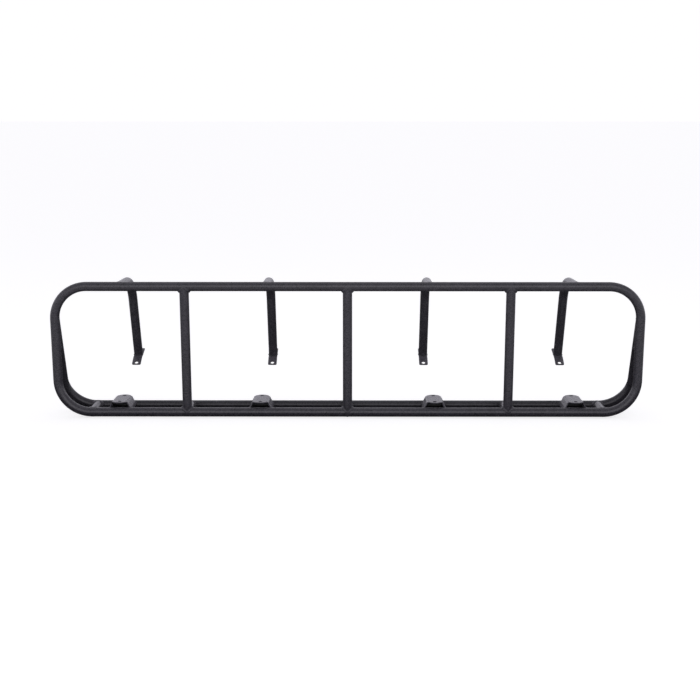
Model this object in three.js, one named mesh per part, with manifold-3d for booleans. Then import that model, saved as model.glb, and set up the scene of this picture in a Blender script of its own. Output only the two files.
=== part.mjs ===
// Ladder rack for a truck: a welded frame of bent round tube.
//
// A wide loop with three uprights stands at the front. A U-shaped hoop lies behind its bottom
// rail and leans forward until it meets the loop's sides, and short cross tubes tie the two
// bottom rails together. Four arms run back from the top rail and bend down to bolted foot
// plates. Four saddle brackets with two bolt holes each sit over the two bottom rails.
//
// Millimetres, +X to the right, +Y to the rear, +Z up. The origin is the middle of the
// footprint, on the surface that the rack stands on. Every weld is a gap of fitGap.

import * as THREE from 'three';
import { mergeVertices } from 'three/addons/utils/BufferGeometryUtils.js';
import Module from 'manifold-3d';

const wasm = await Module();
wasm.setup();

const degrees = Math.PI / 180;

// Tube stock: 1 in round tube, bent on a 3.5 in die.
const tubeRadius = 12.7;
const tubeWall = 2.1;
const bendRadius = 88.9;

// Front loop, measured between tube axes.
const loopHalfWidth = 795.5;
const loopHeight = 349.8;
const uprightSpacing = 441.9;

// Rear hoop: how far behind the loop its rail lies, and how high its sides meet the loop's.
const railSpacing = 81.5;
const hoopMeetHeight = 262;

// Cross tubes between the bottom rails: the outermost pair, and one behind each upright.
const endCrossTubeX = 705;

// Rear arms, one in the middle of each bay.
const armRun = 109;
const armFall = 1.6 * degrees;
const armLean = 16.5 * degrees;
const armLegLength = 178;

// Foot plates: a strip square to the arm's leg, its front end bent further down.
const footWidth = 25.4;
const footThickness = 3.2;
const footRearReach = 39;
const footFrontReach = 17;
const footFlangeLength = 31;
const footFlangeBend = 14 * degrees;
const footBendRadius = 6;
const footCornerRadius = 4;
const footHoleInset = 8.5;

// Saddle brackets: a bent sheet over both rails, with flanges that flare down onto them.
const bracketInnerX = 241;
const bracketOuterX = 630;
const bracketRise = 28.4;
const bracketHalfLength = 46;
const bracketHalfWidth = 20.4;
const bracketThickness = 3;
const bracketFlangeLean = 25 * degrees;
const bracketFlangeBottom = 2;
const bracketBendRadius = 4.5;
const bracketFlangeRear = 33;
const bracketFrontCrown = 9;
const bracketHoleSpacing = 68;

// Clearance holes for 3/8 in bolts.
const boltHoleRadius = 5.15;

// Space left between welded pieces, and how finely round shapes are cut into flats.
const fitGap = 0.3;
const tubeSides = 20;
const boreSides = 10;
const cutterSides = 32;
const holeSides = 16;
const bendStep = 13 * degrees;

// --- Solids -------------------------------------------------------------------------------

function toSolid(geometry) {
  const bare = geometry.clone();
  bare.deleteAttribute('normal');
  bare.deleteAttribute('uv');
  const merged = mergeVertices(bare);
  return new wasm.Manifold(new wasm.Mesh({
    numProp: 3,
    vertProperties: Float32Array.from(merged.attributes.position.array),
    triVerts: Uint32Array.from(merged.index.array),
  }));
}

function toGeometry(solid) {
  const mesh = solid.getMesh();
  const geometry = new THREE.BufferGeometry();
  geometry.setAttribute('position', new THREE.BufferAttribute(mesh.vertProperties, 3));
  geometry.setIndex(new THREE.BufferAttribute(mesh.triVerts, 1));
  geometry.computeVertexNormals();
  return geometry;
}

function cutAway(geometry, cutters) {
  const solid = cutters.reduce((rest, cutter) => rest.subtract(cutter), toSolid(geometry));
  return toGeometry(solid);
}

// --- Paths --------------------------------------------------------------------------------

// Drawings are made in a flat XY plane and turned to where they belong.
const frontView = new THREE.Matrix4().makeRotationX(90 * degrees);
const sideView = new THREE.Matrix4().makeBasis(
  new THREE.Vector3(0, 1, 0),
  new THREE.Vector3(0, 0, 1),
  new THREE.Vector3(1, 0, 0),
);

// Walks straight runs and round bends, with a station wherever the direction changes.
// A positive bend turns left.
function layPath(startX, startY, startHeading, moves) {
  let x = startX;
  let y = startY;
  let heading = startHeading;
  const stations = [{ x, y, heading }];
  const step = (distance, turn) => {
    x += distance * Math.cos(heading + turn / 2);
    y += distance * Math.sin(heading + turn / 2);
    heading += turn;
    stations.push({ x, y, heading });
  };
  for (const { run, bend, radius } of moves) {
    if (run) {
      step(run, 0);
    } else {
      const count = Math.ceil(Math.abs(bend) / bendStep);
      const turn = bend / count;
      const chord = 2 * radius * Math.sin(Math.abs(turn) / 2);
      for (let i = 0; i < count; i += 1) step(chord, turn);
    }
  }
  return stations;
}

// The curve through a path's stations, which an extrusion follows station by station.
class StationCurve extends THREE.Curve {
  constructor(stations) {
    super();
    this.stations = stations;
  }

  stationAt(t) {
    return this.stations[Math.round(t * (this.stations.length - 1))];
  }

  getPointAt(t) {
    const { x, y } = this.stationAt(t);
    return new THREE.Vector3(x, y, 0);
  }

  getTangentAt(t) {
    const { heading } = this.stationAt(t);
    return new THREE.Vector3(Math.cos(heading), Math.sin(heading), 0);
  }
}

function polygon(radius, sides) {
  return Array.from({ length: sides }, (_, i) => {
    const angle = (2 * Math.PI * i) / sides;
    return new THREE.Vector2(radius * Math.cos(angle), radius * Math.sin(angle));
  });
}

function tubeSection() {
  const section = new THREE.Shape(polygon(tubeRadius, tubeSides));
  section.holes.push(new THREE.Path(polygon(tubeRadius - tubeWall, boreSides)));
  return section;
}

function bentTube(stations, view) {
  const tube = new THREE.ExtrudeGeometry(tubeSection(), {
    steps: stations.length - 1,
    extrudePath: new StationCurve(stations),
  });
  return tube.applyMatrix4(view);
}

// A sheet bent along a path, seen from its edge: the path moved half a thickness each way.
function sheetEdge(stations, thickness) {
  const offset = (side) => stations.map(({ x, y, heading }) => new THREE.Vector2(
    x - side * (thickness / 2) * Math.sin(heading),
    y + side * (thickness / 2) * Math.cos(heading),
  ));
  return new THREE.Shape([...offset(1), ...offset(-1).reverse()]);
}

// --- Cutters ------------------------------------------------------------------------------

// A rod that clears a tube along the given axis by fitGap all round.
function tubeCutter(axis, length, x, y, z) {
  const radius = (tubeRadius + fitGap) / Math.cos(Math.PI / cutterSides);
  const rod = new THREE.CylinderGeometry(radius, radius, length, cutterSides);
  if (axis === 'x') rod.rotateZ(90 * degrees);
  if (axis === 'z') rod.rotateX(90 * degrees);
  rod.translate(x, y, z);
  return toSolid(rod);
}

// A bent rod that clears the tube along the same stations by fitGap all round.
function bentCutter(stations, view) {
  const radius = (tubeRadius + fitGap) / Math.cos(Math.PI / cutterSides);
  const rod = new THREE.ExtrudeGeometry(new THREE.Shape(polygon(radius, cutterSides)), {
    steps: stations.length - 1,
    extrudePath: new StationCurve(stations),
  });
  return toSolid(rod.applyMatrix4(view));
}

// An upright drill, tilted about X before it is moved to its hole.
function drill(tilt, y, z) {
  const length = 40;
  const bit = new THREE.CylinderGeometry(boltHoleRadius, boltHoleRadius, length, holeSides);
  bit.rotateX(90 * degrees + tilt);
  bit.translate(0, y, z);
  return toSolid(bit);
}

// What is filed off a square corner at the plane's origin to leave it round. The plate lies
// towards -X and -Y of that corner.
function cornerCutter(radius) {
  const margin = 1;
  const depth = 40;
  const waste = new THREE.Shape();
  waste.moveTo(margin, margin);
  waste.lineTo(-radius, margin);
  waste.lineTo(-radius, 0);
  waste.absarc(-radius, -radius, radius, 90 * degrees, 0, true);
  waste.lineTo(margin, -radius);
  const cutter = new THREE.ExtrudeGeometry(waste, {
    depth,
    bevelEnabled: false,
    curveSegments: 5,
  });
  return cutter.translate(0, 0, -depth / 2);
}

// --- Pieces -------------------------------------------------------------------------------

// Half of the front loop, bent from one length and open at its two seams.
function loopHalf(side) {
  const railRun = loopHalfWidth - bendRadius - fitGap / 2;
  const stations = layPath(fitGap / 2, 0, 0, [
    { run: railRun },
    { bend: 90 * degrees, radius: bendRadius },
    { run: loopHeight - 2 * bendRadius },
    { bend: 90 * degrees, radius: bendRadius },
    { run: railRun },
  ]);
  const half = bentTube(stations, frontView);
  return side > 0 ? half : half.applyMatrix4(new THREE.Matrix4().makeRotationZ(180 * degrees));
}

function upright() {
  const stations = layPath(0, 0, 90 * degrees, [{ run: loopHeight }]);
  const length = 4 * tubeRadius;
  return cutAway(bentTube(stations, frontView), [
    tubeCutter('x', length, 0, 0, 0),
    tubeCutter('x', length, 0, 0, loopHeight),
  ]);
}

// A bottom rail with its two bends, and sides that rise to the given length.
function cradleStations(sideLength) {
  return layPath(-loopHalfWidth, sideLength, -90 * degrees, [
    { run: sideLength - bendRadius },
    { bend: 90 * degrees, radius: bendRadius },
    { run: 2 * (loopHalfWidth - bendRadius) },
    { bend: 90 * degrees, radius: bendRadius },
    { run: sideLength - bendRadius },
  ]);
}

// The hoop leans forward about its own rail until its sides meet those of the loop.
const hoopSideLength = Math.hypot(railSpacing, hoopMeetHeight);
const hoopView = new THREE.Matrix4()
  .makeTranslation(0, railSpacing, 0)
  .multiply(new THREE.Matrix4().makeRotationX(Math.atan2(railSpacing, hoopMeetHeight)))
  .multiply(frontView);

// Each end of the hoop is coped to the side of the loop.
function rearHoop() {
  return cutAway(bentTube(cradleStations(hoopSideLength), hoopView), [-1, 1].map((side) => (
    tubeCutter('z', 2 * loopHeight, side * loopHalfWidth, 0, loopHeight)
  )));
}

// Cross tubes are coped to both bottom rails, and behind an upright also to its foot.
function addCrossTubes(frame, uprightPlaces) {
  const stations = layPath(0, 0, 0, [{ run: railSpacing }]);
  const rails = [
    bentCutter(cradleStations(loopHeight / 2), frontView),
    bentCutter(cradleStations(hoopSideLength), hoopView),
  ];
  const places = [-endCrossTubeX, ...uprightPlaces, endCrossTubeX];
  places.forEach((x, i) => {
    const neighbours = [...rails];
    if (uprightPlaces.includes(x)) neighbours.push(tubeCutter('z', 4 * tubeRadius, x, 0, 0));
    const tube = bentTube(stations, sideView).translate(x, 0, 0);
    frame.add(powderCoated(`cross_tube_${i + 1}`, cutAway(tube, neighbours)));
  });
}

function armStations() {
  return layPath(0, 0, -armFall, [
    { run: armRun },
    { bend: -(90 * degrees - armLean - armFall), radius: bendRadius },
    { run: armLegLength },
  ]);
}

function rearArm() {
  return cutAway(bentTube(armStations(), sideView), [
    tubeCutter('x', 4 * tubeRadius, 0, 0, 0),
  ]);
}

// The foot plate's own frame has its origin at the end of the leg, +Y to the rear along the
// plate and +Z up the leg.
function footPlate() {
  const bendAllowance = footBendRadius * Math.tan(footFlangeBend / 2);
  const stations = layPath(footRearReach, -fitGap - footThickness / 2, 180 * degrees, [
    { run: footRearReach + footFrontReach - bendAllowance },
    { bend: footFlangeBend, radius: footBendRadius },
    { run: footFlangeLength - bendAllowance },
  ]);
  const strip = new THREE.ExtrudeGeometry(sheetEdge(stations, footThickness), {
    depth: footWidth,
    bevelEnabled: false,
  });
  strip.translate(0, 0, -footWidth / 2).applyMatrix4(sideView);

  const flangeEnd = stations.at(-1);
  const flangeTilt = flangeEnd.heading - 180 * degrees;
  const ends = [
    { y: footRearReach, z: 0, tilt: 0, turn: 0 },
    { y: flangeEnd.x, z: flangeEnd.y, tilt: flangeTilt, turn: 180 * degrees },
  ];
  const corners = ends.flatMap(({ y, z, tilt, turn }) => [-1, 1].map((side) => {
    const cutter = cornerCutter(footCornerRadius);
    if (side < 0) cutter.rotateZ(90 * degrees);
    cutter.translate(side * (footWidth / 2), 0, 0);
    cutter.rotateZ(turn).rotateX(tilt).translate(0, y, z);
    return toSolid(cutter);
  }));
  const holes = [
    drill(0, footRearReach - footHoleInset, 0),
    drill(
      flangeTilt,
      flangeEnd.x + footHoleInset * Math.cos(flangeTilt),
      flangeEnd.y + footHoleInset * Math.sin(flangeTilt),
    ),
  ];
  return cutAway(strip, [...corners, ...holes]);
}

// The bracket's own frame has its origin midway between the rails, at the height of their axes.
function saddleBracket() {
  const flareAngle = 90 * degrees - bracketFlangeLean;
  const bendAllowance = bracketBendRadius * Math.tan(flareAngle / 2);
  const midHeight = bracketRise - bracketThickness / 2;
  const flangeRun = (midHeight - bracketFlangeBottom) / Math.cos(bracketFlangeLean) - bendAllowance;
  const footHalfWidth = bracketHalfWidth
    + (midHeight - bracketFlangeBottom) * Math.tan(bracketFlangeLean);
  const stations = layPath(-footHalfWidth, bracketFlangeBottom, flareAngle, [
    { run: flangeRun },
    { bend: -flareAngle, radius: bracketBendRadius },
    { run: 2 * (bracketHalfWidth - bendAllowance) },
    { bend: -flareAngle, radius: bracketBendRadius },
    { run: flangeRun },
  ]);
  const sheet = new THREE.ExtrudeGeometry(sheetEdge(stations, bracketThickness), {
    depth: 2 * bracketHalfLength,
    bevelEnabled: false,
  });
  sheet.translate(0, 0, -bracketHalfLength).applyMatrix4(frontView);

  const plan = toSolid(bracketPlan(footHalfWidth + bracketThickness));
  const blank = toGeometry(toSolid(sheet).intersect(plan));
  const railLength = 4 * footHalfWidth;
  return cutAway(blank, [
    tubeCutter('x', railLength, 0, -railSpacing / 2, 0),
    tubeCutter('x', railLength, 0, railSpacing / 2, 0),
    drill(0, -bracketHoleSpacing / 2, bracketRise),
    drill(0, bracketHoleSpacing / 2, bracketRise),
  ]);
}

// The bracket seen from above: a tongue with a crowned front and a round rear end, and wider
// where the flanges are.
function bracketPlan(flangeHalfWidth) {
  const flangeFront = bracketFrontCrown - bracketHalfLength;
  const rearCentre = bracketHalfLength - bracketHalfWidth;
  const rearAngle = Math.asin((bracketFlangeRear - rearCentre) / bracketHalfWidth);
  const crownRadius = (bracketHalfWidth ** 2 + bracketFrontCrown ** 2) / (2 * bracketFrontCrown);
  const crownAngle = Math.asin(bracketHalfWidth / crownRadius);
  const down = -90 * degrees;
  const plan = new THREE.Shape();
  plan.moveTo(-flangeHalfWidth, flangeFront);
  plan.lineTo(-bracketHalfWidth, flangeFront);
  plan.absarc(
    0,
    crownRadius - bracketHalfLength,
    crownRadius,
    down - crownAngle,
    down + crownAngle,
    false,
  );
  plan.lineTo(flangeHalfWidth, flangeFront);
  plan.lineTo(flangeHalfWidth, bracketFlangeRear);
  plan.absarc(0, rearCentre, bracketHalfWidth, rearAngle, 180 * degrees - rearAngle, false);
  plan.lineTo(-flangeHalfWidth, bracketFlangeRear);
  return new THREE.ExtrudeGeometry(plan, {
    depth: 2 * bracketRise,
    bevelEnabled: false,
    curveSegments: 12,
  });
}

// --- Assembly -----------------------------------------------------------------------------

function powderCoated(name, geometry) {
  const material = new THREE.MeshStandardMaterial({
    color: 0x2c2c2f,
    roughness: 0.72,
    metalness: 0.15,
  });
  const mesh = new THREE.Mesh(geometry, material);
  mesh.name = name;
  return mesh;
}

// Adds one mesh for each place along X, named from left to right.
function addRow(parent, names, geometries, places, y, z) {
  places.forEach((x, i) => {
    const mesh = powderCoated(names[i], geometries[i % geometries.length]);
    mesh.position.set(x, y, z);
    parent.add(mesh);
  });
}

const numbered = (name, places) => places.map((_, i) => `${name}_${i + 1}`);

// The frame's own origin is the middle of the front bottom rail, on its axis.
function buildFrame() {
  const frame = new THREE.Group();
  frame.add(powderCoated('front_loop_left', loopHalf(-1)));
  frame.add(powderCoated('front_loop_right', loopHalf(1)));

  const uprightPlaces = [-uprightSpacing, 0, uprightSpacing];
  const uprightNames = ['upright_left', 'upright_center', 'upright_right'];
  addRow(frame, uprightNames, [upright()], uprightPlaces, 0, 0);

  frame.add(powderCoated('rear_hoop', rearHoop()));
  addCrossTubes(frame, uprightPlaces);

  const bracketPlaces = [-bracketOuterX, -bracketInnerX, bracketInnerX, bracketOuterX];
  const bracketNames = numbered('saddle_bracket', bracketPlaces);
  addRow(frame, bracketNames, [saddleBracket()], bracketPlaces, railSpacing / 2, 0);

  const outerBay = (uprightSpacing + loopHalfWidth) / 2;
  const innerBay = uprightSpacing / 2;
  const armPlaces = [-outerBay, -innerBay, innerBay, outerBay];
  addRow(frame, numbered('rear_arm', armPlaces), [rearArm()], armPlaces, 0, loopHeight);

  const legEnd = armStations().at(-1);
  const feet = new THREE.Group();
  addRow(feet, numbered('foot_plate', armPlaces), [footPlate()], armPlaces, 0, 0);
  feet.children.forEach((foot) => foot.rotateX(armLean));
  feet.position.set(0, legEnd.x, loopHeight + legEnd.y);
  frame.add(feet);
  return frame;
}

// Moves the frame so that the middle of its footprint is the origin.
function standOnOrigin(frame) {
  const box = new THREE.Box3().setFromObject(frame, true);
  const middle = box.getCenter(new THREE.Vector3());
  frame.position.set(-middle.x, -middle.y, -box.min.z);
}

const group = new THREE.Group();
const frame = buildFrame();
standOnOrigin(frame);
group.add(frame);

export default group;
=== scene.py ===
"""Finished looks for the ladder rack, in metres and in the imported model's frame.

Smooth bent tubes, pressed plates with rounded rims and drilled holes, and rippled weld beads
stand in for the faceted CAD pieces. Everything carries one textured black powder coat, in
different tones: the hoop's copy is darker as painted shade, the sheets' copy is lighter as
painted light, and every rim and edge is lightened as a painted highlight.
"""

import math
from collections import namedtuple

import bpy
import numpy as np
from mathutils import Matrix, Vector
from mathutils.geometry import delaunay_2d_cdt

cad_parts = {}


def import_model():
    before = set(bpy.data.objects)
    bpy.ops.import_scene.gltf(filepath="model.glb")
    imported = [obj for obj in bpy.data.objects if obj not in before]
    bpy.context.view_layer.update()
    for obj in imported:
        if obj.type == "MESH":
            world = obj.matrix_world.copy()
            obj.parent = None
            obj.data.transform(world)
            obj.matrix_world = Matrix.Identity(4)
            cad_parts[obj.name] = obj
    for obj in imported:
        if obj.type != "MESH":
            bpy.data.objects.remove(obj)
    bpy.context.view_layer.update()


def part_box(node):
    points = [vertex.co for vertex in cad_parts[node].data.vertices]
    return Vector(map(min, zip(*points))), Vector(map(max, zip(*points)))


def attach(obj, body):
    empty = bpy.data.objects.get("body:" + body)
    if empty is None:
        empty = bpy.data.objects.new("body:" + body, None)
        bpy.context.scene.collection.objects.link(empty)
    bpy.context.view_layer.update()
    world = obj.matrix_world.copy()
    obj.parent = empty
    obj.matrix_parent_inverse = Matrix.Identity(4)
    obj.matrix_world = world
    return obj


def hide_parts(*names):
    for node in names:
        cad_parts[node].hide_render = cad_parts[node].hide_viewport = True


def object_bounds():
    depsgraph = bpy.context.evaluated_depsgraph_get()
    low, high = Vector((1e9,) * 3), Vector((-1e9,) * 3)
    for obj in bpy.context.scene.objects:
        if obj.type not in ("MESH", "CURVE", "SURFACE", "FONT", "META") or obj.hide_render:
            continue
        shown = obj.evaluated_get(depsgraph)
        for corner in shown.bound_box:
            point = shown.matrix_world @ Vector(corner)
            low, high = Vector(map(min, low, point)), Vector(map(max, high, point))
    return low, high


MM = 0.001
X = Vector((1, 0, 0))
Y = Vector((0, 1, 0))
Z = Vector((0, 0, 1))

# Edges that turn more than this stay sharp, and points nearer than this are one point.
SHARP_ANGLE = math.radians(50)
SAME_PLACE = 1e-7

# Tube stock. A bend flattens a tube a little in the plane of the bend, and the flattening
# comes in over the first sixth of the bend and goes over the last.
BEND_RADIUS = 88.9 * MM
BEND_FLATTENING = 0.02
BEND_EASING = 6
BEND_STEP = math.radians(3)
TUBE_SIDES = 56
TOUCH_TOLERANCE = 1e-6

# Rear hoop: how high above the bottom rail's axis its sides meet the loop's.
HOOP_MEET_HEIGHT = 262 * MM

# Rear arms.
ARM_RUN = 109 * MM
ARM_FALL = math.radians(1.6)
ARM_LEAN = math.radians(16.5)
ARM_LEG_LENGTH = 178 * MM

# Foot plates.
FOOT_WIDTH = 25.4 * MM
FOOT_THICKNESS = 3.2 * MM
FOOT_REAR_REACH = 39 * MM
FOOT_FRONT_REACH = 17 * MM
FOOT_FLANGE_LENGTH = 31 * MM
FOOT_FLANGE_BEND = math.radians(14)
FOOT_BEND_RADIUS = 6 * MM
FOOT_CORNER_RADIUS = 4 * MM
FOOT_HOLE_INSET = 8.5 * MM

# Saddle brackets.
BRACKET_RISE = 28.4 * MM
BRACKET_HALF_LENGTH = 46 * MM
BRACKET_HALF_WIDTH = 20.4 * MM
BRACKET_THICKNESS = 3 * MM
BRACKET_FLANGE_LEAN = math.radians(25)
BRACKET_FLANGE_BOTTOM = 2 * MM
BRACKET_FLANGE_REAR = 33 * MM
BRACKET_BEND_RADIUS = 4.5 * MM
BRACKET_FRONT_CROWN = 9 * MM
BRACKET_HOLE_SPACING = 68 * MM
BRACKET_CROWN_POINTS = 40
BRACKET_REAR_POINTS = 50
SADDLE_POINTS = 12

# Sheet work: clearance holes for 3/8 in bolts, rims rounded by the coat, and the grid of
# points inside a sheet, which keeps a part of its spacing clear of the outline.
BOLT_HOLE_RADIUS = 5.15 * MM
HOLE_SIDES = 40
RIM_RADIUS = 0.6 * MM
RIM_STEPS = 4
RIM_SHOULDER = 0.3 * MM
OUTLINE_STEP = 1.2 * MM
SHEET_GRID = 2.5 * MM
SHEET_GRID_CLEARANCE = 0.55
FIT_GAP = 0.3 * MM

# Weld beads: their size at each kind of joint.
UPRIGHT_BEAD = 3.9 * MM
CROSS_TUBE_BEAD = 3.0 * MM
END_CROSS_TUBE_BEAD = 5.2 * MM
HOOP_BEAD = 3.0 * MM
ARM_BEAD = 2.6 * MM
FOOT_BEAD = 1.4 * MM
BRACKET_BEAD = 2.2 * MM
BOTTOM_SEAM = 3.8 * MM
TOP_SEAM = 1.6 * MM

# The shape of a bead, as parts of its size: its half height and half width, how deep its
# middle sinks between level surfaces, how far it stands out of a square corner and at most,
# and how near an open end its taper stops.
BEAD_HEIGHT = 0.8
BEAD_WIDTH = 1.2
BEAD_SINK = 0.68
SEAM_SINK = 0.5
BEAD_RISE = 0.3
BEAD_MOST_RISE = 3.0
BEAD_TIP = 0.02

# How a bead is laid: points round each kind of joint, passes that round the kinks in its line,
# the cosine between the surfaces' normals in the tightest corner, and its own mesh.
COPE_POINTS = 240
FOOT_JOINT_POINTS = 160
SEAM_POINTS = 120
BEAD_SOFTENING = 24
TIGHTEST_CORNER = -0.97
BEAD_STEP = 0.55 * MM
BEAD_SIDES = 16

# A bead's ripples: their pitch and depth, how far their crests bow, how pointed the valleys
# are, and how much the beads vary from ripple to ripple and from point to point.
RIPPLE_PITCH = 2.6 * MM
RIPPLE_DEPTH = 0.13
RIPPLE_BOW = 0.3
RIPPLE_POWER = 0.6
RIPPLE_SPREAD = 0.05
POINT_SPREAD = 0.012

# Powder coat: its greys before the tone, the lighter grey of its painted rim highlight and how
# wide that reaches, its violet tint, and its noises' features per metre.
COAT_DARK = 0.0305
COAT_LIGHT = 0.0395
COAT_RIM_HIGHLIGHT = 0.060
COAT_RIM_HIGHLIGHT_WIDTH = 0.7 * MM
GREEN_CUT = 0.04
BLUE_LIFT = 0.17
GRAIN_SCALE = 1150
CLUMP_SCALE = 420
MOTTLE_SCALE = 150
PEEL_SCALE = 130
CLOUD_SCALE = 9

# Camera: its place relative to the middle of the loop's bottom rail, its tilt and its lens.
CAMERA_OFFSET = Vector((0.0181, -3.007, 0.7927))
CAMERA_TILT = math.radians(11.607)
CAMERA_TURN = math.radians(0.214)
LENS_MM = 57.81
SENSOR_MM = 36

# Studio: how far the ground and the mat reach in metres, what they reflect, and the walls.
GROUND_REACH = 400
FLOOR_REFLECTANCE = 0.5
FLOOR_GLOW = 0.71
MAT_HALF_WIDTH = 1.3
MAT_FRONT = -0.28
MAT_REAR = 2.0
MAT_REFLECTANCE = 0.04
BOUNCE_REFLECTANCE = 0.8
WALL_COLOUR = (1.02, 1.0, 1.10, 1)
CEILING_COLOUR = (0.40, 0.39, 0.43, 1)
LIGHT_TARGET = (0, 0, 0.2)

random_numbers = np.random.default_rng(7)


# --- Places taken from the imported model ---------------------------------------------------


class Places:
    """Where the tubes' axes lie, read from the boxes of the CAD nodes."""

    def __init__(self):
        low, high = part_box("upright_center")
        self.radius = (high.x - low.x) / 2
        self.front = (low.y + high.y) / 2
        low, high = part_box("front_loop_right")
        self.side = high.x - self.radius
        self.bottom = low.z + self.radius
        self.top = high.z - self.radius
        low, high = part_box("rear_hoop")
        self.rear = high.y - self.radius
        self.uprights = middles("upright_left", "upright_center", "upright_right")
        self.crossings = middles(*numbered("cross_tube", 5))
        self.arms = middles(*numbered("rear_arm", 4))
        self.brackets = middles(*numbered("saddle_bracket", 4))


def middles(*nodes):
    """Where the middles of nodes lie along X."""
    return [(low.x + high.x) / 2 for low, high in map(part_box, nodes)]


def numbered(name, count):
    """The names of a row of nodes, counted from one."""
    return [f"{name}_{i + 1}" for i in range(count)]


# --- Meshes -------------------------------------------------------------------------------


def strip_faces(rows, columns, first=0, closed=False):
    """Quads between rings of points that are numbered ring by ring."""
    faces = []
    for i in range(rows if closed else rows - 1):
        here = first + i * columns
        there = first + ((i + 1) % rows) * columns
        for j in range(columns):
            k = (j + 1) % columns
            faces.append((here + j, here + k, there + k, there + j))
    return faces


def fan_faces(ring, centre, flip):
    """Triangles that close a ring of points round a point in its middle."""
    faces = []
    for i, a in enumerate(ring):
        b = ring[(i + 1) % len(ring)]
        faces.append((b, a, centre) if flip else (a, b, centre))
    return faces


class Shape:
    """Points and faces that build up into one mesh."""

    def __init__(self):
        self.points = []
        self.faces = []

    def add_rings(self, rings, closed=False):
        """Joins rings of points into a tube, which runs round to its start or gets two caps."""
        first = len(self.points)
        columns = len(rings[0])
        for ring in rings:
            self.points.extend(tuple(p) for p in ring)
        self.faces.extend(strip_faces(len(rings), columns, first, closed))
        if not closed:
            last = first + (len(rings) - 1) * columns
            self.cap(range(first, first + columns), flip=True)
            self.cap(range(last, last + columns), flip=False)

    def cap(self, indices, flip):
        """Closes a ring of points, with a new point in its middle."""
        ring = list(indices)
        middle = np.mean([self.points[i] for i in ring], axis=0)
        self.points.append(tuple(middle))
        self.faces.extend(fan_faces(ring, len(self.points) - 1, flip))


def add_piece(name, shape, material, replaces=()):
    """A finished piece in the scene, smooth except at real edges."""
    mesh = bpy.data.meshes.new(name)
    mesh.from_pydata(shape.points, [], shape.faces)
    mesh.update()
    mesh.shade_smooth()
    mesh.set_sharp_from_angle(angle=SHARP_ANGLE)
    mesh.materials.append(material)
    piece = bpy.data.objects.new(name, mesh)
    bpy.context.scene.collection.objects.link(piece)
    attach(piece, "root")
    if replaces:
        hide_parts(*replaces)
    return piece


# --- Bent tube ----------------------------------------------------------------------------

Station = namedtuple("Station", "place heading squeeze")
Rod = namedtuple("Rod", "start axis length")
Touch = namedtuple("Touch", "place normal")


def lay_path(start, heading, axis, moves):
    """Stations along straight runs (a length) and bends about the axis (an angle)."""
    place = start.copy()
    stations = [Station(place, heading, 0.0)]
    for kind, amount in moves:
        if kind == "run":
            place = place + heading * amount
            stations.append(Station(place, heading, 0.0))
            continue
        count = math.ceil(abs(amount) / BEND_STEP)
        turn = Matrix.Rotation(amount / count, 3, axis)
        half_turn = Matrix.Rotation(amount / count / 2, 3, axis)
        chord = 2 * BEND_RADIUS * math.sin(abs(amount) / count / 2)
        for i in range(count):
            place = place + (half_turn @ heading) * chord
            heading = turn @ heading
            into_bend = min((i + 1) / count, 1 - (i + 1) / count)
            stations.append(Station(place, heading, min(1.0, BEND_EASING * into_bend)))
    return stations


def tube_ring(station, axis, radius, count):
    """Points round the tube, and the directions in which they lie from its axis."""
    across = station.heading.cross(axis)
    thin = radius * (1 - BEND_FLATTENING * station.squeeze)
    wide = radius * (1 + BEND_FLATTENING / 2 * station.squeeze)
    points = []
    normals = []
    for i in range(count):
        angle = 2 * math.pi * i / count
        points.append(
            station.place + axis * (wide * math.cos(angle)) + across * (thin * math.sin(angle))
        )
        normals.append(axis * math.cos(angle) + across * math.sin(angle))
    return points, normals


def first_touch(point, heading, rods, radius):
    """Where a line first meets one of the round rods, and the rod's surface normal there."""
    best_distance = math.inf
    best = None
    for rod in rods:
        away = point - rod.start
        flat = away - away.dot(rod.axis) * rod.axis
        slope = heading - heading.dot(rod.axis) * rod.axis
        a = slope.length_squared
        b = flat.dot(slope)
        c = flat.length_squared - radius**2
        distance = (-b - math.sqrt(max(0.0, b * b - a * c))) / a
        place = point + heading * distance
        along = (place - rod.start).dot(rod.axis)
        if -TOUCH_TOLERANCE <= along <= rod.length and distance < best_distance:
            best_distance = distance
            best = Touch(place, (place - rod.start - along * rod.axis).normalized())
    return best


def coped_ring(station, outward, axis, rods, radius):
    """The end of a tube, cut to lie on the rods that it meets."""
    points, _ = tube_ring(station, axis, radius, TUBE_SIDES)
    return [first_touch(p, outward, rods, radius).place for p in points]


def tube_shape(stations, axis, radius, start_rods=(), end_rods=()):
    """A tube along its stations, coped to the rods that it meets at its ends."""
    rings = [tube_ring(s, axis, radius, TUBE_SIDES)[0] for s in stations]
    if start_rods:
        rings[0] = coped_ring(stations[0], -stations[0].heading, axis, start_rods, radius)
    if end_rods:
        rings[-1] = coped_ring(stations[-1], stations[-1].heading, axis, end_rods, radius)
    shape = Shape()
    shape.add_rings(rings)
    return shape


# --- Weld beads ---------------------------------------------------------------------------


def resampled(rows, step, closed):
    """Rows whose first three numbers are a place, spaced evenly along their line."""
    if closed:
        rows = np.vstack([rows, rows[:1]])
    lengths = np.linalg.norm(np.diff(rows[:, :3], axis=0), axis=1)
    travelled = np.concatenate([[0], np.cumsum(lengths)])
    count = max(8, round(travelled[-1] / step))
    wanted = np.linspace(0, travelled[-1], count, endpoint=not closed)
    return np.column_stack([np.interp(wanted, travelled, column) for column in rows.T])


def softened(rows, passes, closed):
    """Rows averaged with their neighbours, which rounds the kinks in a line."""
    for _ in range(passes):
        if closed:
            rows = (np.roll(rows, 1, axis=0) + 2 * rows + np.roll(rows, -1, axis=0)) / 4
        else:
            rows[1:-1] = (rows[:-2] + 2 * rows[1:-1] + rows[2:]) / 4
    return rows


def unit(rows):
    """Rows scaled to length one."""
    return rows / np.maximum(np.linalg.norm(rows, axis=1, keepdims=True), 1e-9)


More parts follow.
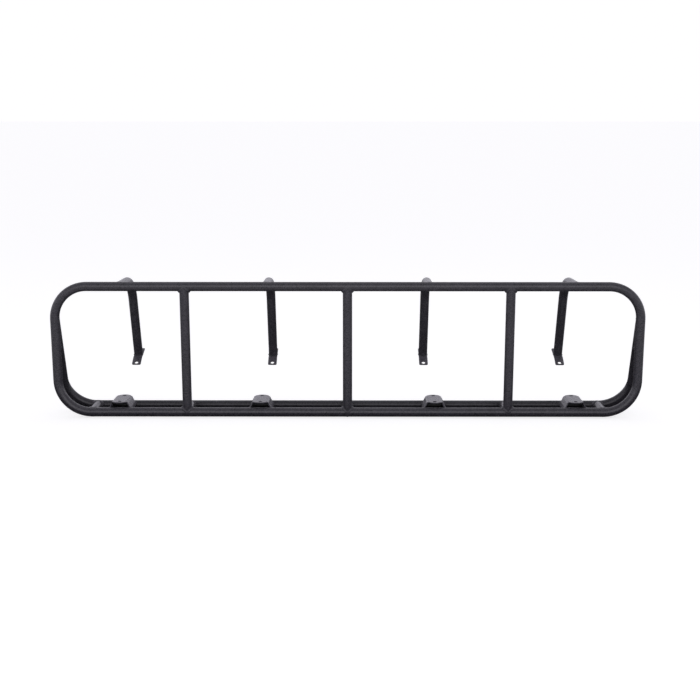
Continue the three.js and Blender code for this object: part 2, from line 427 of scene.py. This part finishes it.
def add_bead(shape, line, size, closed=True, sink=BEAD_SINK):
    """A rippled bead along a line of (place, normal of one surface, normal of the other).

    The bead sits deep where the two surfaces are nearly level and fills the corner where
    they close up.
    """
    rows = np.array([[*place, *one, *other] for place, one, other in line])
    rows = softened(resampled(rows, BEAD_STEP, closed), BEAD_SOFTENING, closed)
    one = unit(rows[:, 3:6])
    other = unit(rows[:, 6:9])
    cosine = np.clip((one * other).sum(axis=1), TIGHTEST_CORNER, 1)
    half_corner = (math.pi - np.arccos(cosine)) / 2
    rise = size * np.minimum((BEAD_RISE + sink) / np.tan(half_corner) - sink, BEAD_MOST_RISE)
    outward = unit(one + other)
    centres = rows[:, :3] + outward * rise[:, None]

    if closed:
        tangents = unit(np.roll(centres, -1, axis=0) - np.roll(centres, 1, axis=0))
    else:
        tangents = unit(np.gradient(centres, axis=0))
    outward = unit(outward - (outward * tangents).sum(axis=1, keepdims=True) * tangents)
    sideways = np.cross(tangents, outward)

    steps = np.linalg.norm(centres - np.roll(centres, 1, axis=0), axis=1)
    travelled = np.cumsum(steps)
    ripples = max(1, round(travelled[-1] / RIPPLE_PITCH))
    phase = travelled / travelled[-1] * ripples
    swell = random_numbers.normal(0, RIPPLE_SPREAD, ripples)
    ends = np.ones(len(centres))
    if not closed:
        reach = np.minimum(np.arange(len(ends)), np.arange(len(ends))[::-1]) * BEAD_STEP
        ends = np.sqrt(np.clip(reach / size, BEAD_TIP, 1))

    rings = []
    for i, centre in enumerate(centres):
        angle = np.arange(BEAD_SIDES) * (2 * math.pi / BEAD_SIDES)
        place_in_ripple = phase[i] + RIPPLE_BOW * np.cos(angle)
        crest = np.abs(np.sin(math.pi * place_in_ripple)) ** RIPPLE_POWER
        width = size * (1 - RIPPLE_DEPTH + RIPPLE_DEPTH * crest)
        uneven = random_numbers.normal(0, POINT_SPREAD, BEAD_SIDES)
        width *= 1 + swell[int(phase[i]) % ripples] + uneven
        width *= ends[i]
        rings.append(
            centre
            + outward[i] * (BEAD_HEIGHT * width * np.cos(angle))[:, None]
            + sideways[i] * (BEAD_WIDTH * width * np.sin(angle))[:, None]
        )
    shape.add_rings(rings, closed)


def joint_line(station, outward, axis, rods, radius):
    """The line round a coped end where a tube meets its neighbours."""
    points, normals = tube_ring(station, axis, radius, COPE_POINTS)
    touches = [first_touch(p, outward, rods, radius) for p in points]
    return [(t.place, n, t.normal) for t, n in zip(touches, normals)]


# --- Sheet work ---------------------------------------------------------------------------


def rounded_outline(corners):
    """A closed outline through corners of (x, y, radius), walked anticlockwise."""
    outline = []
    for i, (x, y, radius) in enumerate(corners):
        here = Vector((x, y))
        before = (Vector(corners[i - 1][:2]) - here).normalized()
        after = (Vector(corners[(i + 1) % len(corners)][:2]) - here).normalized()
        half = before.angle(after) / 2
        centre = here + (before + after).normalized() * (radius / math.sin(half))
        start = here + before * (radius / math.tan(half)) - centre
        end = here + after * (radius / math.tan(half)) - centre
        sweep = start.angle_signed(end)
        count = max(3, round(abs(sweep) * radius / OUTLINE_STEP))
        for k in range(count + 1):
            turned = Matrix.Rotation(-sweep * k / count, 2) @ start
            outline.append(centre + turned)
    return evenly_spaced(outline)


def evenly_spaced(outline):
    """The outline with points added along its long sides."""
    filled = []
    for i, a in enumerate(outline):
        b = outline[(i + 1) % len(outline)]
        if (b - a).length < SAME_PLACE:
            continue
        count = max(1, round((b - a).length / OUTLINE_STEP))
        filled.extend(a.lerp(b, k / count) for k in range(count))
    return filled


def circle_outline(x, y, radius):
    """A hole's outline, walked clockwise."""
    angles = [-2 * math.pi * k / HOLE_SIDES for k in range(HOLE_SIDES)]
    return [Vector((x + radius * math.cos(a), y + radius * math.sin(a))) for a in angles]


def left_normals(outline):
    """Directions that point into the sheet from an outline that has the sheet on its left."""
    normals = []
    for i, here in enumerate(outline):
        along = (outline[(i + 1) % len(outline)] - outline[i - 1]).normalized()
        normals.append(Vector((-along.y, along.x)))
    return normals


def is_inside(x, y, loops):
    """True where a point is inside the outline and outside the holes."""
    inside = False
    for loop in loops:
        for i, a in enumerate(loop):
            b = loop[i - 1]
            if (a.y > y) != (b.y > y) and x < (b.x - a.x) * (y - a.y) / (b.y - a.y) + a.x:
                inside = not inside
    return inside


def filled_sheet(loops):
    """Points and triangles that fill the sheet, with the loops' own points first."""
    points = [p for loop in loops for p in loop]
    edges = []
    first = 0
    for loop in loops:
        edges.extend((first + i, first + (i + 1) % len(loop)) for i in range(len(loop)))
        first += len(loop)
    rim = np.array(points)
    low, high = rim.min(axis=0), rim.max(axis=0)
    for x in np.arange(low[0], high[0], SHEET_GRID):
        for y in np.arange(low[1], high[1], SHEET_GRID):
            nearest = np.hypot(rim[:, 0] - x, rim[:, 1] - y).min()
            if nearest > SHEET_GRID_CLEARANCE * SHEET_GRID and is_inside(x, y, loops):
                points.append(Vector((x, y)))

    # The triangulation works in millimetres, which suits its tolerance.
    flat = [p * 1000 for p in points]
    _, _, faces, origins, _, _ = delaunay_2d_cdt(flat, edges, [], 0, 1e-6)
    triangles = []
    for face in faces:
        corners = [origins[i][0] for i in face]
        x, y = sum((points[i] for i in corners), Vector((0, 0))) / 3
        if is_inside(x, y, loops):
            triangles.append(corners)
    return points, triangles


def sheet_shape(outline, holes, thickness, bent):
    """A sheet with rounded rims, where bent(x, y, z) takes each flat point to its place."""
    loops = [outline, *holes]
    inward = [left_normals(loop) for loop in loops]
    inset = [
        [p + n * (RIM_RADIUS + RIM_SHOULDER) for p, n in zip(loop, normals)]
        for loop, normals in zip(loops, inward)
    ]
    points, triangles = filled_sheet(inset)
    shape = Shape()
    for side in (1, -1):
        first = len(shape.points)
        shape.points.extend((p.x, p.y, side * thickness / 2) for p in points)
        for a, b, c in triangles:
            corners = (first + a, first + b, first + c)
            shape.faces.append(corners if side > 0 else corners[::-1])

    angles = [math.pi / 2 * k / RIM_STEPS for k in range(RIM_STEPS + 1)]
    rim_rows = [(1, angle) for angle in angles] + [(-1, angle) for angle in reversed(angles)]
    start = 0
    for loop, normals in zip(loops, inward):
        count = len(loop)
        rows = [list(range(start, start + count))]
        for side, angle in rim_rows:
            tuck = RIM_RADIUS * (1 - math.sin(angle))
            height = side * (thickness / 2 - RIM_RADIUS * (1 - math.cos(angle)))
            rows.append(range(len(shape.points), len(shape.points) + count))
            for p, n in zip(loop, normals):
                rim = p + n * tuck
                shape.points.append((rim.x, rim.y, height))
        rows.append([len(points) + i for i in rows[0]])
        for upper, lower in zip(rows, rows[1:]):
            for i in range(count):
                k = (i + 1) % count
                shape.faces.append((upper[i], lower[i], lower[k], upper[k]))
        start += count

    shape.points = [tuple(bent(*p)) for p in shape.points]
    return shape


def folded(along, height, fold_at, angle, radius):
    """Where a point of a flat strip goes when the strip is folded down beyond fold_at.

    The radius is that of the strip's middle, and height is measured from its middle.
    """
    past = along - fold_at
    if past <= 0:
        return along, height
    turn = min(past / radius, angle)
    rest = max(0.0, past - radius * angle)
    reach = fold_at + (radius + height) * math.sin(turn) + rest * math.cos(turn)
    level = (radius + height) * math.cos(turn) - radius - rest * math.sin(turn)
    return reach, level


# --- Materials ----------------------------------------------------------------------------


class Nodes:
    """A material's node tree, with short ways to add and join nodes."""

    def __init__(self, name):
        self.material = bpy.data.materials.new(name)
        self.material.use_nodes = True
        self.tree = self.material.node_tree
        self.shader = self.tree.nodes["Principled BSDF"]

    def add(self, kind, **settings):
        """A new node with its settings."""
        node = self.tree.nodes.new(kind)
        for key, value in settings.items():
            setattr(node, key, value)
        return node

    def join(self, source, target):
        self.tree.links.new(source, target)

    def noise(self, coordinates, scale, detail=2.0, roughness=0.5):
        """A noise from 0 to 1."""
        node = self.add("ShaderNodeTexNoise")
        node.inputs["Scale"].default_value = scale
        node.inputs["Detail"].default_value = detail
        node.inputs["Roughness"].default_value = roughness
        self.join(coordinates, node.inputs["Vector"])
        return node.outputs["Fac"]

    def ramp(self, factor, *stops):
        """A colour ramp with stops of (position, colour)."""
        node = self.add("ShaderNodeValToRGB")
        elements = node.color_ramp.elements
        while len(elements) < len(stops):
            elements.new(0.5)
        for element, (position, colour) in zip(elements, stops):
            element.position = position
            element.color = (*colour, 1)
        self.join(factor, node.inputs["Fac"])
        return node.outputs["Color"]

    def mixed(self, factor, one, other, blend="MIX"):
        """Two colours mixed, where each input is a number, a colour or a node's output."""
        node = self.add("ShaderNodeMix", data_type="RGBA", blend_type=blend)
        targets = (node.inputs[0], node.inputs[6], node.inputs[7])
        for source, target in zip((factor, one, other), targets):
            if isinstance(source, float):
                target.default_value = source
            elif isinstance(source, tuple):
                target.default_value = (*source, 1)
            else:
                self.join(source, target)
        return node.outputs[2]

    def ranged(self, value, low, high, from_low, from_high):
        """A value taken from one range to another."""
        node = self.add("ShaderNodeMapRange")
        node.inputs["From Min"].default_value = from_low
        node.inputs["From Max"].default_value = from_high
        node.inputs["To Min"].default_value = low
        node.inputs["To Max"].default_value = high
        self.join(value, node.inputs["Value"])
        return node.outputs["Result"]

    def bump(self, height, strength, distance, below=None):
        """A bumped normal, on top of another where one is given."""
        node = self.add("ShaderNodeBump")
        node.inputs["Strength"].default_value = strength
        node.inputs["Distance"].default_value = distance
        self.join(height, node.inputs["Height"])
        if below:
            self.join(below, node.inputs["Normal"])
        return node.outputs["Normal"]


def grey(value, tint=1.0):
    """A dark grey with a slight violet tint, as carbon black in polyester has."""
    return (value, value * (1 - GREEN_CUT * tint), value * (1 + BLUE_LIFT * tint))


def powder_coat(name, tone=1.0, grain=1.0, gloss=0.5):
    """Fine-textured black powder coat: grains with pits between them, over slow orange peel.

    Tone scales the colour, grain scales the height of the texture, and gloss is the shader's
    specular level.
    """
    nodes = Nodes(name)
    place = nodes.add("ShaderNodeTexCoord").outputs["Object"]

    grains = nodes.noise(place, GRAIN_SCALE, detail=3.0, roughness=0.6)
    clumps = nodes.noise(place, CLUMP_SCALE)
    mottle = nodes.noise(place, MOTTLE_SCALE, roughness=0.7)
    peel = nodes.noise(place, PEEL_SCALE, detail=1.0)
    cloud = nodes.noise(place, CLOUD_SCALE, detail=3.0)

    body = nodes.ramp(
        cloud,
        (0.30, grey(COAT_DARK * tone)),
        (0.70, grey(COAT_LIGHT * tone)),
    )
    blotches = nodes.ramp(
        mottle,
        (0.34, (0.70, 0.70, 0.70)),
        (0.66, (1.32, 1.31, 1.30)),
    )
    body = nodes.mixed(1.0, body, blotches, "MULTIPLY")
    speckle = nodes.ramp(
        grains,
        (0.34, (0.62, 0.62, 0.62)),
        (0.52, (1.0, 1.0, 1.0)),
        (0.72, (1.75, 1.72, 1.70)),
    )
    colour = nodes.mixed(1.0, body, speckle, "MULTIPLY")

    # Rims and edges are painted lighter where the bevelled normal turns away from the
    # surface's: a painted highlight, not wear.
    rim = nodes.add("ShaderNodeBevel", samples=4)
    rim.inputs["Radius"].default_value = COAT_RIM_HIGHLIGHT_WIDTH
    facing = nodes.add("ShaderNodeVectorMath", operation="DOT_PRODUCT")
    surface = nodes.add("ShaderNodeNewGeometry").outputs["Normal"]
    nodes.join(rim.outputs["Normal"], facing.inputs[0])
    nodes.join(surface, facing.inputs[1])
    rim_highlight_mask = nodes.ranged(
        facing.outputs["Value"], low=0.55, high=0.0, from_low=0.86, from_high=0.985
    )
    colour = nodes.mixed(rim_highlight_mask, colour, grey(COAT_RIM_HIGHLIGHT * tone, tint=0.4))
    nodes.join(colour, nodes.shader.inputs["Base Color"])

    patchy = nodes.ranged(clumps, low=0.22, high=0.36, from_low=0.3, from_high=0.7)
    nodes.join(patchy, nodes.shader.inputs["Roughness"])

    slow = nodes.bump(peel, strength=0.5 * grain, distance=0.5 * MM)
    middle = nodes.bump(clumps, strength=0.45 * grain, distance=0.22 * MM, below=slow)
    fine = nodes.bump(grains, strength=0.55 * grain, distance=0.16 * MM, below=middle)
    nodes.join(fine, nodes.shader.inputs["Normal"])

    nodes.shader.inputs["IOR"].default_value = 1.5
    nodes.shader.inputs["Specular IOR Level"].default_value = gloss
    nodes.shader.inputs["Sheen Weight"].default_value = 0.06
    nodes.shader.inputs["Sheen Roughness"].default_value = 0.5
    return nodes.material


# --- The rack's pieces --------------------------------------------------------------------


def build_loop(places, coat, bead_coat):
    """The front loop's two bent halves, and the butt welds where they meet."""
    run = places.side - BEND_RADIUS
    rise = places.top - places.bottom - 2 * BEND_RADIUS
    moves = [
        ("run", run),
        ("bend", math.pi / 2),
        ("run", rise),
        ("bend", math.pi / 2),
        ("run", run),
    ]
    for name, height, heading in (("right", places.bottom, X), ("left", places.top, -X)):
        start = Vector((0, places.front, height))
        stations = lay_path(start, heading, -Y, moves)
        shape = tube_shape(stations, -Y, places.radius)
        add_piece(f"loop_tube_{name}", shape, coat, [f"front_loop_{name}"])

    seams = Shape()
    for height, size in ((places.bottom, BOTTOM_SEAM), (places.top, TOP_SEAM)):
        centre = Vector((0, places.front, height))
        line = []
        for i in range(SEAM_POINTS):
            angle = 2 * math.pi * i / SEAM_POINTS
            out = Y * math.cos(angle) + Z * math.sin(angle)
            line.append((centre + out * places.radius, out, out))
        add_bead(seams, line, size, sink=SEAM_SINK)
    add_piece("loop_seam_welds", seams, bead_coat)


def build_uprights(places, coat, bead_coat):
    """Straight tubes coped to both rails, and to the cross tube behind their foot."""
    height = places.top - places.bottom
    for name, x in zip(("left", "center", "right"), places.uprights):
        start = Vector((x, places.front, places.bottom))
        foot_rods = [rail(places, places.front, places.bottom), crossing(places, x)]
        head_rods = [rail(places, places.front, places.top)]
        stations = lay_path(start, Z, X, [("run", height)])
        shape = tube_shape(stations, X, places.radius, foot_rods, head_rods)
        add_piece(f"upright_tube_{name}", shape, coat, [f"upright_{name}"])

        beads = Shape()
        foot_line = joint_line(stations[0], -Z, X, foot_rods, places.radius)
        head_line = joint_line(stations[-1], Z, X, head_rods, places.radius)
        add_bead(beads, foot_line, UPRIGHT_BEAD)
        add_bead(beads, head_line, UPRIGHT_BEAD)
        add_piece(f"upright_welds_{name}", beads, bead_coat)


def rail(places, y, z):
    """A straight rail along X at a height and depth."""
    return Rod(Vector((-places.side, y, z)), X, 2 * places.side)


def crossing(places, x):
    """The cross tube at x, from the front bottom rail to the rear one."""
    start = Vector((x, places.front, places.bottom))
    return Rod(start, Y, places.rear - places.front)


def build_cross_tubes(places, coat, bead_coat):
    """Short tubes between the bottom rails."""
    for i, x in enumerate(places.crossings):
        start = Vector((x, places.front, places.bottom))
        stations = lay_path(start, Y, X, [("run", places.rear - places.front)])
        front_rods = [rail(places, places.front, places.bottom)]
        size = END_CROSS_TUBE_BEAD
        if any(abs(x - upright) < 1 * MM for upright in places.uprights):
            front_rods.append(Rod(start, Z, places.top - places.bottom))
            size = CROSS_TUBE_BEAD
        rear_rods = [rail(places, places.rear, places.bottom)]
        shape = tube_shape(stations, X, places.radius, front_rods, rear_rods)
        add_piece(f"cross_tube_{i + 1}_smooth", shape, coat, [f"cross_tube_{i + 1}"])

        beads = Shape()
        add_bead(beads, joint_line(stations[0], -Y, X, front_rods, places.radius), size)
        add_bead(beads, joint_line(stations[-1], Y, X, rear_rods, places.radius), size)
        add_piece(f"cross_tube_{i + 1}_welds", beads, bead_coat)


def build_hoop(places, coat, bead_coat):
    """The rear hoop, whose sides lean forward and end on the back of the loop's sides."""
    depth = places.rear - places.front
    lean = math.atan2(depth, HOOP_MEET_HEIGHT)
    up = Vector((0, -math.sin(lean), math.cos(lean)))
    axis = X.cross(up)
    side = math.hypot(depth, HOOP_MEET_HEIGHT) - BEND_RADIUS
    start = Vector((-places.side, places.front, places.bottom + HOOP_MEET_HEIGHT))
    stations = lay_path(
        start,
        -up,
        axis,
        [
            ("run", side),
            ("bend", math.pi / 2),
            ("run", 2 * (places.side - BEND_RADIUS)),
            ("bend", math.pi / 2),
            ("run", side),
        ],
    )
    sides = []
    for x in (-places.side, places.side):
        bottom = Vector((x, places.front, places.bottom))
        sides.append([Rod(bottom, Z, places.top - places.bottom)])
    shape = tube_shape(stations, axis, places.radius, sides[0], sides[1])
    add_piece("hoop_tube", shape, coat, ["rear_hoop"])

    beads = Shape()
    for end, rods in ((stations[0], sides[0]), (stations[-1], sides[1])):
        add_bead(beads, joint_line(end, up, axis, rods, places.radius), HOOP_BEAD)
    add_piece("hoop_welds", beads, bead_coat)


def arm_stations(places, x):
    """An arm's path from the top rail's axis to the end of its leg."""
    start = Vector((x, places.front, places.top))
    heading = Vector((0, math.cos(ARM_FALL), -math.sin(ARM_FALL)))
    bend = math.pi / 2 - ARM_LEAN - ARM_FALL
    moves = [("run", ARM_RUN), ("bend", -bend), ("run", ARM_LEG_LENGTH)]
    return lay_path(start, heading, X, moves)


def build_arms(places, coat, bead_coat):
    """Arms that run back from the top rail and bend down to their feet."""
    rods = [rail(places, places.front, places.top)]
    for i, x in enumerate(places.arms):
        stations = arm_stations(places, x)
        shape = tube_shape(stations, X, places.radius, rods)
        add_piece(f"arm_tube_{i + 1}", shape, coat, [f"rear_arm_{i + 1}"])

        beads = Shape()
        heading = stations[0].heading
        add_bead(beads, joint_line(stations[0], -heading, X, rods, places.radius), ARM_BEAD)
        end = stations[-1]
        points, normals = tube_ring(end, X, places.radius, FOOT_JOINT_POINTS)
        add_bead(beads, [(p, n, -end.heading) for p, n in zip(points, normals)], FOOT_BEAD)
        add_piece(f"arm_welds_{i + 1}", beads, bead_coat)


def build_feet(places, coat):
    """Folded strips under the arms, with a bolt hole near each end."""
    fold_allowance = FOOT_BEND_RADIUS * math.tan(FOOT_FLANGE_BEND / 2)
    fold_at = FOOT_FRONT_REACH - fold_allowance
    fold_length = FOOT_BEND_RADIUS * FOOT_FLANGE_BEND
    front_end = fold_at + fold_length + FOOT_FLANGE_LENGTH - fold_allowance
    half = FOOT_WIDTH / 2
    outline = rounded_outline([
        (-FOOT_REAR_REACH, -half, FOOT_CORNER_RADIUS),
        (front_end, -half, FOOT_CORNER_RADIUS),
        (front_end, half, FOOT_CORNER_RADIUS),
        (-FOOT_REAR_REACH, half, FOOT_CORNER_RADIUS),
    ])
    holes = [
        circle_outline(FOOT_HOLE_INSET - FOOT_REAR_REACH, 0, BOLT_HOLE_RADIUS),
        circle_outline(front_end - FOOT_HOLE_INSET, 0, BOLT_HOLE_RADIUS),
    ]
    tilt = Matrix.Rotation(ARM_LEAN, 3, "X")
    for i, x in enumerate(places.arms):
        leg_end = arm_stations(places, x)[-1].place

        def bent(along, across, height, leg_end=leg_end):
            reach, level = folded(along, height, fold_at, FOOT_FLANGE_BEND, FOOT_BEND_RADIUS)
            sunk = level - FIT_GAP - FOOT_THICKNESS / 2
            return leg_end + tilt @ Vector((across, -reach, sunk))

        shape = sheet_shape(outline, holes, FOOT_THICKNESS, bent)
        add_piece(f"foot_{i + 1}_sheet", shape, coat, [f"foot_plate_{i + 1}"])


def arc_points(centre, radius, start, end, count):
    """Points on an arc, by angles in radians."""
    angles = np.linspace(start, end, count)
    return [
        Vector((centre[0] + radius * math.cos(a), centre[1] + radius * math.sin(a)))
        for a in angles
    ]


def bracket_blank(places):
    """The flat bracket, X across it and Y to the rear: its outline, holes, folds and flare."""
    flare = math.pi / 2 - BRACKET_FLANGE_LEAN
    allowance = BRACKET_BEND_RADIUS * math.tan(flare / 2)
    middle = BRACKET_RISE - BRACKET_THICKNESS / 2
    fold_at = BRACKET_HALF_WIDTH - allowance
    flange_start = fold_at + BRACKET_BEND_RADIUS * flare
    lean = math.cos(BRACKET_FLANGE_LEAN)
    knee = middle - allowance * lean

    def down_flange(height):
        """How far across the blank the flange reaches a height above the rails' axes."""
        return flange_start + (knee - height) / lean

    crown = (BRACKET_HALF_WIDTH**2 + BRACKET_FRONT_CROWN**2) / (2 * BRACKET_FRONT_CROWN)
    crown_angle = math.asin(BRACKET_HALF_WIDTH / crown)
    down = -math.pi / 2
    front = arc_points(
        (0, crown - BRACKET_HALF_LENGTH),
        crown,
        down - crown_angle,
        down + crown_angle,
        BRACKET_CROWN_POINTS,
    )
    rear_centre = BRACKET_HALF_LENGTH - BRACKET_HALF_WIDTH
    rear_angle = math.asin((BRACKET_FLANGE_REAR - rear_centre) / BRACKET_HALF_WIDTH)
    rear = arc_points(
        (0, rear_centre),
        BRACKET_HALF_WIDTH,
        rear_angle,
        math.pi - rear_angle,
        BRACKET_REAR_POINTS,
    )

    clearance = places.radius + FIT_GAP
    spacing = (places.rear - places.front) / 2
    flange_front = BRACKET_FRONT_CROWN - BRACKET_HALF_LENGTH
    front_cut = saddle_cut(-spacing, clearance, flange_front, 1)
    rear_cut = saddle_cut(spacing, clearance, BRACKET_FLANGE_REAR, -1)
    wing = [(down_flange(z), y) for y, z in front_cut]
    wing += [(down_flange(z), y) for y, z in reversed(rear_cut)]
    right = [Vector((x, y)) for x, y in wing]
    left = [Vector((-x, y)) for x, y in reversed(wing)]
    outline = evenly_spaced([*front, *right, *rear, *left])
    holes = [
        circle_outline(0, -BRACKET_HOLE_SPACING / 2, BOLT_HOLE_RADIUS),
        circle_outline(0, BRACKET_HOLE_SPACING / 2, BOLT_HOLE_RADIUS),
    ]
    return outline, holes, fold_at, flare


def saddle_cut(rail_y, radius, flange_end, side):
    """Points (y, z) down the curve that a flange's end is cut to, to sit on a rail."""
    top = math.acos((flange_end - rail_y) * side / radius)
    bottom = math.asin(BRACKET_FLANGE_BOTTOM / radius)
    cut = []
    for angle in np.linspace(top, bottom, SADDLE_POINTS):
        cut.append((rail_y + side * radius * math.cos(angle), radius * math.sin(angle)))
    return cut


def flange_x(height):
    """How far from the bracket's middle the middle of a flange is at a height."""
    middle = BRACKET_RISE - BRACKET_THICKNESS / 2
    return BRACKET_HALF_WIDTH + (middle - height) * math.tan(BRACKET_FLANGE_LEAN)


def build_brackets(places, coat, bead_coat):
    """Saddle brackets over the two bottom rails, welded along their flanges."""
    outline, holes, fold_at, flare = bracket_blank(places)
    middle_y = (places.front + places.rear) / 2
    half_gap = (places.rear - places.front) / 2
    level = places.bottom + BRACKET_RISE - BRACKET_THICKNESS / 2
    for i, x in enumerate(places.brackets):

        def bent(across, along, height, x=x):
            reach, drop = folded(abs(across), height, fold_at, flare, BRACKET_BEND_RADIUS)
            return Vector((x + math.copysign(reach, across), middle_y + along, level + drop))

        shape = sheet_shape(outline, holes, BRACKET_THICKNESS, bent)
        add_piece(f"bracket_{i + 1}_sheet", shape, coat, [f"saddle_bracket_{i + 1}"])

        beads = Shape()
        for flange in (-1, 1):
            ends = (
                (-half_gap, 1, BRACKET_FRONT_CROWN - BRACKET_HALF_LENGTH),
                (half_gap, -1, BRACKET_FLANGE_REAR),
            )
            for rail_y, side, flange_end in ends:
                line = []
                for y, z in saddle_cut(rail_y, places.radius, flange_end, side):
                    out_x = flange * (flange_x(z) + BRACKET_THICKNESS / 2)
                    place = Vector((x + out_x, middle_y + y, places.bottom + z))
                    out = Vector((flange, 0, 0))
                    line.append((place, out, Vector((0, y - rail_y, z)).normalized()))
                add_bead(beads, line, BRACKET_BEAD, closed=False)
        add_piece(f"bracket_{i + 1}_welds", beads, bead_coat)


# --- Studio -------------------------------------------------------------------------------


def add_camera():
    """The scene's camera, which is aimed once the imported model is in."""
    data = bpy.data.cameras.new("camera")
    data.lens = LENS_MM
    data.sensor_width = SENSOR_MM
    camera = bpy.data.objects.new("camera", data)
    bpy.context.scene.collection.objects.link(camera)
    bpy.context.scene.camera = camera
    return camera


def aim_camera(camera, places):
    """Places the camera in front of the rack and a little above it."""
    middle = Vector((0, places.front, places.bottom))
    camera.location = middle + CAMERA_OFFSET
    camera.rotation_euler = (math.pi / 2 - CAMERA_TILT, 0, CAMERA_TURN)


def add_ground(name, level, half_width, front, rear, reflectance, glow=0.0):
    """A level plane with a matt finish, which may glow a little of itself."""
    mesh = bpy.data.meshes.new(name)
    sides = ((-half_width, front), (half_width, front), (half_width, rear), (-half_width, rear))
    mesh.from_pydata([(x, y, level) for x, y in sides], [], [(0, 1, 2, 3)])
    material = bpy.data.materials.new(name)
    material.use_nodes = True
    shader = material.node_tree.nodes["Principled BSDF"]
    shader.inputs["Base Color"].default_value = (reflectance, reflectance, reflectance, 1)
    shader.inputs["Roughness"].default_value = 0.9
    shader.inputs["Specular IOR Level"].default_value = 0
    shader.inputs["Emission Color"].default_value = (1, 1, 1, 1)
    shader.inputs["Emission Strength"].default_value = glow
    mesh.materials.append(material)
    ground = bpy.data.objects.new(name, mesh)
    bpy.context.scene.collection.objects.link(ground)
    return ground


def add_floor():
    """A pale floor for the camera, and under it the grounds that light and shade the rack.

    A rack this dark would lose its modelling over the full bounce of a white floor, so it
    stands over a dark mat, and only the ground beyond the mat is pale.
    """
    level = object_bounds()[0][2]
    everywhere = (GROUND_REACH, -GROUND_REACH, GROUND_REACH)
    floor = add_ground("pale_floor", level, *everywhere, FLOOR_REFLECTANCE, glow=FLOOR_GLOW)
    floor.visible_diffuse = False
    floor.visible_glossy = False
    under_rack = (MAT_HALF_WIDTH, MAT_FRONT, MAT_REAR)
    mat = add_ground("dark_mat", level - 1 * MM, *under_rack, MAT_REFLECTANCE)
    mat.visible_camera = False
    bounce = add_ground("bounce_ground", level - 2 * MM, *everywhere, BOUNCE_REFLECTANCE)
    bounce.visible_camera = False


def add_softbox(name, place, width, height, power):
    """A rectangular area light that faces the rack."""
    data = bpy.data.lights.new(name, "AREA")
    data.shape = "RECTANGLE"
    data.size = width
    data.size_y = height
    data.energy = power
    light = bpy.data.objects.new(name, data)
    light.location = place
    aim = Vector(LIGHT_TARGET) - Vector(place)
    light.rotation_euler = aim.to_track_quat("-Z", "Y").to_euler()
    bpy.context.scene.collection.objects.link(light)


def light_studio():
    """White walls under a darker ceiling, with soft lights overhead and in front."""
    world = bpy.data.worlds.new("studio")
    bpy.context.scene.world = world
    world.use_nodes = True
    tree = world.node_tree
    direction = tree.nodes.new("ShaderNodeTexCoord").outputs["Generated"]
    split = tree.nodes.new("ShaderNodeSeparateXYZ")
    ramp = tree.nodes.new("ShaderNodeValToRGB")
    walls, ceiling = ramp.color_ramp.elements
    walls.position = 0.15
    walls.color = WALL_COLOUR
    ceiling.position = 0.7
    ceiling.color = CEILING_COLOUR
    tree.links.new(direction, split.inputs[0])
    tree.links.new(split.outputs["Z"], ramp.inputs[0])
    tree.links.new(ramp.outputs[0], tree.nodes["Background"].inputs["Color"])
    add_softbox("overhead", (0, 0.6, 2.6), width=4.0, height=2.4, power=8)
    add_softbox("front", (0, -3.6, 1.5), width=4.0, height=2.6, power=24)
    bpy.context.scene.view_settings.view_transform = "Standard"


def main():
    """Builds the whole scene."""
    camera = add_camera()
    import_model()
    places = Places()
    aim_camera(camera, places)

    tube_coat = powder_coat("powder_coat_tube")
    # The hoop's copy of the coat is darker: painted shade for the front loop's shadow over it,
    # though the hoop has the same coat.
    hoop_painted_shade_coat = powder_coat("powder_coat_hoop_painted_shade", tone=0.72, gloss=0.4)
    # The sheets' copy of the coat is 1.6 times lighter: painted light, though the sheets have
    # the same coat as the tubes.
    sheet_painted_light_coat = powder_coat("powder_coat_sheet_painted_light", tone=1.6, grain=0.8, gloss=0.55)
    bead_coat = powder_coat("powder_coat_bead", tone=1.05, grain=1.2)

    build_loop(places, tube_coat, bead_coat)
    build_uprights(places, tube_coat, bead_coat)
    build_cross_tubes(places, tube_coat, bead_coat)
    build_hoop(places, hoop_painted_shade_coat, bead_coat)
    build_arms(places, tube_coat, bead_coat)
    build_feet(places, sheet_painted_light_coat)
    build_brackets(places, sheet_painted_light_coat, bead_coat)

    add_floor()
    light_studio()


main()
